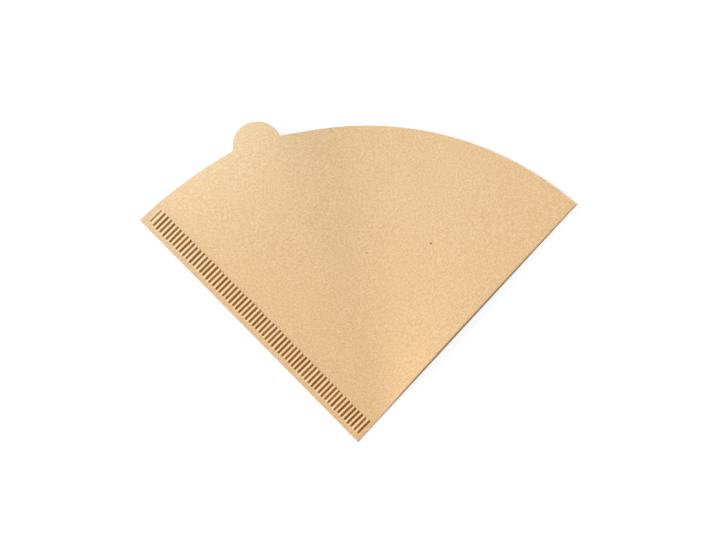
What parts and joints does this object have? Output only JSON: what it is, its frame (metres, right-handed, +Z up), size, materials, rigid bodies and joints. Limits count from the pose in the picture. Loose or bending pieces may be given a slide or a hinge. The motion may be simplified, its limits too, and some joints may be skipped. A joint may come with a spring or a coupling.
{
  "type": "paper coffee filter",
  "caption": "Unbleached paper cone filter for pour-over coffee, folded flat: round mouth with a thumb tab, folded edge and a crimped side seam.",
  "frame": {"origin": "centre of the bounding box, on the surface that the filter lies on", "axes": "+Z up out of the surface, through the upper ply with the tab; +X across the mouth from the crimped seam's corner to the fold's corner; +Y from the tip to the mouth along the line halfway between the two straight edges"},
  "size_m": [0.1754, 0.1292, 0.0025],
  "materials": {
    "filter_paper": "unbleached, matt, finely mottled"
  },
  "bodies": {
    "root": {"filter_sheet": "filter_paper"}
  },
  "joints": []
}
